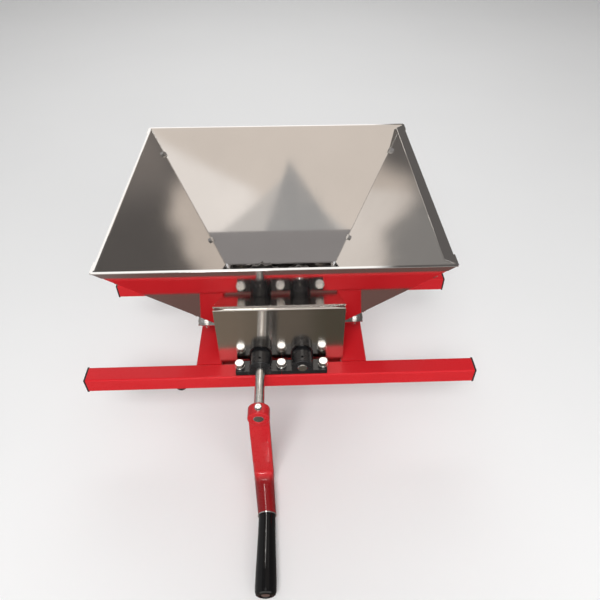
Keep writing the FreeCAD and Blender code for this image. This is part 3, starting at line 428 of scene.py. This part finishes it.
def wmath(op, a, b=None):
    n = wnode("ShaderNodeMath", operation=op)
    for s, v in ((n.inputs[0], a), (n.inputs[1], b)):
        if v is None:
            continue
        if isinstance(v, (int, float)):
            s.default_value = v
        else:
            wt.links.new(v, s)
    return n.outputs[0]


def step(value, lo, hi):
    """0 below lo, 1 above hi, soft between; the other way round where lo > hi"""
    n = wnode("ShaderNodeMapRange", interpolation_type="SMOOTHSTEP")
    wt.links.new(value, n.inputs["Value"])
    n.inputs["From Min"].default_value = min(lo, hi)
    n.inputs["From Max"].default_value = max(lo, hi)
    n.inputs["To Min"].default_value = 0.0 if lo < hi else 1.0
    n.inputs["To Max"].default_value = 1.0 if lo < hi else 0.0
    return n.outputs[0]


def all_of(*masks):
    out = masks[0]
    for m in masks[1:]:
        out = wmath("MULTIPLY", out, m)
    return out


def over(total, mask, colour):
    mix = wnode("ShaderNodeMix", data_type="RGBA")
    wt.links.new(mask, mix.inputs[0])
    for s, v in ((mix.inputs[6], total), (mix.inputs[7], colour)):
        if isinstance(v, tuple):
            s.default_value = (*v, 1)
        else:
            wt.links.new(v, s)
    return mix.outputs[2]


bg = wnode("ShaderNodeBackground")
wo = wnode("ShaderNodeOutputWorld")
wt.links.new(bg.outputs[0], wo.inputs[0])
way = wnode("ShaderNodeTexCoord").outputs["Generated"]
split = wnode("ShaderNodeSeparateXYZ")
wt.links.new(way, split.inputs[0])
X, Y, Z = split.outputs
drift = wnode("ShaderNodeTexNoise")
drift.inputs["Scale"].default_value = 7.0
drift.inputs["Detail"].default_value = 2.0
wt.links.new(way, drift.inputs["Vector"])
sway = wmath("SUBTRACT", drift.outputs["Fac"], 0.5)
around = wmath("MULTIPLY", wmath("ARCTAN2", X, wmath("MULTIPLY", Y, -1.0)), 57.2958)   # 0 in front, + right
side = wmath("ADD", around, wmath("MULTIPLY", sway, 9.0))
lift = wmath("ADD", wmath("MULTIPLY", wmath("ARCSINE", Z), 57.2958), wmath("MULTIPLY", sway, 5.0))
height = wmath("MULTIPLY", wmath("ARCSINE", Z), 57.2958)


def spot(direction, inner, outer):
    dot = wnode("ShaderNodeVectorMath", operation="DOT_PRODUCT")
    wt.links.new(way, dot.inputs[0])
    dot.inputs[1].default_value = Vector(direction).normalized()
    return step(dot.outputs["Value"], math.cos(math.radians(outer)), math.cos(math.radians(inner)))


# the room that the bright sheet mirrors: a pale wall in front, dim sides,
# a white sweep behind, a low dark ceiling with one lamp, a brown floor in front
room = over((0.17, 0.16, 0.155), step(height, 8, -8), (0.12, 0.10, 0.085))
room = over(room, all_of(step(side, -48, -56), step(lift, 50, 43)), (0.32, 0.315, 0.31))
room = over(room, all_of(step(side, 50, 56), step(lift, 50, 43)), (0.13, 0.122, 0.118))
room = over(room, all_of(step(side, 50, 56), step(lift, 44, 52)), (0.27, 0.245, 0.23))
front = all_of(step(side, -55.5, -52.5), step(side, 55.0, 52.5), step(lift, 21, 26), step(lift, 49, 45.5))
room = over(room, front, (0.74, 0.665, 0.60))
pale = all_of(step(wmath("ADD", Z, wmath("MULTIPLY", X, 0.357)), 0.528, 0.505), step(X, -0.03, -0.085), step(Y, 0.0, -0.5))
room = over(room, wmath("MULTIPLY", pale, front), (0.92, 0.865, 0.82))
# a soft dark gable in front of the pale wall
reach = wmath("SUBTRACT", wmath("MULTIPLY", wmath("SUBTRACT", 0.590, Z), 0.60),
              wmath("ABSOLUTE", wmath("SUBTRACT", X, wmath("MULTIPLY", wmath("SUBTRACT", 0.590, Z), 0.17))))
halo = wmath("SUBTRACT", wmath("MULTIPLY", wmath("SUBTRACT", 0.560, Z), 1.35), wmath("ABSOLUTE", wmath("ADD", X, 0.01)))
room = over(room, all_of(step(halo, -0.004, 0.012), step(Y, -0.4, -0.6)), (0.60, 0.57, 0.545))
room = over(room, all_of(step(reach, -0.002, 0.009), step(Y, -0.4, -0.6)), (0.38, 0.375, 0.37))
# white sweep behind
room = over(room, all_of(step(Y, 0.48, 0.58), step(height, 6, 18), step(height, 66, 56), step(X, -0.45, -0.38),
                         step(X, 0.20, 0.15)), (1.25, 1.24, 1.22))
# lamp above the front wall, and the bright sill below it
room = over(room, all_of(step(side, -26, -18), step(side, 26, 18), step(height, 46, 49), step(height, 68, 60)), (3.4, 3.35, 3.25))
room = over(room, all_of(step(Y, -0.5, -0.75), step(height, -20, -15), step(height, 2, -3)), (1.0, 0.97, 0.93))
room = over(room, all_of(step(around, -12.0, -10.0), step(around, -1.5, -3.5), step(height, 2, 5), step(height, 18, 15)), (12.0, 12.0, 11.8))
room = over(room, spot((0.0, 0.13, 0.99), 8, 13), (0.35, 0.34, 0.345))
# floor: brown in front, paler straight below
room = over(room, all_of(step(height, -20, -34), step(Y, -0.3, -0.6)), (0.125, 0.105, 0.085))
room = over(room, all_of(step(height, -20, -34), step(Y, -0.3, -0.6), step(X, -0.03, -0.12)), (0.19, 0.155, 0.12))
room = over(room, all_of(step(height, -20, -34), step(Y, -0.3, -0.6), step(X, 0.015, 0.06)), (0.075, 0.066, 0.048))
room = over(room, step(Z, -0.88, -0.97), (0.15, 0.085, 0.075))
# what lights the matt surfaces: an even tent, brighter in front
tent = over((0.26, 0.26, 0.26), step(Y, 0.3, -0.6), (0.36, 0.355, 0.35))
glance = wnode("ShaderNodeLightPath").outputs["Is Glossy Ray"]
wt.links.new(over(tent, glance, room), bg.inputs["Color"])
bg.inputs["Strength"].default_value = 1.0


def softbox(name, place, target, size_x, size_y, power, colour=(1, 1, 1)):
    d = bpy.data.lights.new(name, "AREA")
    d.shape = "RECTANGLE"
    d.size, d.size_y = size_x, size_y
    d.energy = power
    d.color = colour
    o = bpy.data.objects.new(name, d)
    scene.collection.objects.link(o)
    o.location = place
    o.rotation_mode = "QUATERNION"
    o.rotation_quaternion = (Vector(target) - Vector(place)).to_track_quat("-Z", "Y")
    o.visible_glossy = False                  # the bright sheet mirrors the room, not the lamps
    return o


softbox("key", (-0.2, -1.25, 1.6), (0, 0.0, 0.05), 0.8, 0.8, 25)
softbox("back", (0.0, 1.5, 1.9), (0, 0.35, 0.0), 1.6, 1.2, 16)
softbox("fill", (0.9, -1.4, 1.0), (0, 0.05, 0.05), 1.0, 1.0, 6)
softbox("low", (-0.1, -1.7, 0.35), (0, 0.0, 0.05), 1.0, 0.4, 1)

scene.view_settings.view_transform = "Standard"
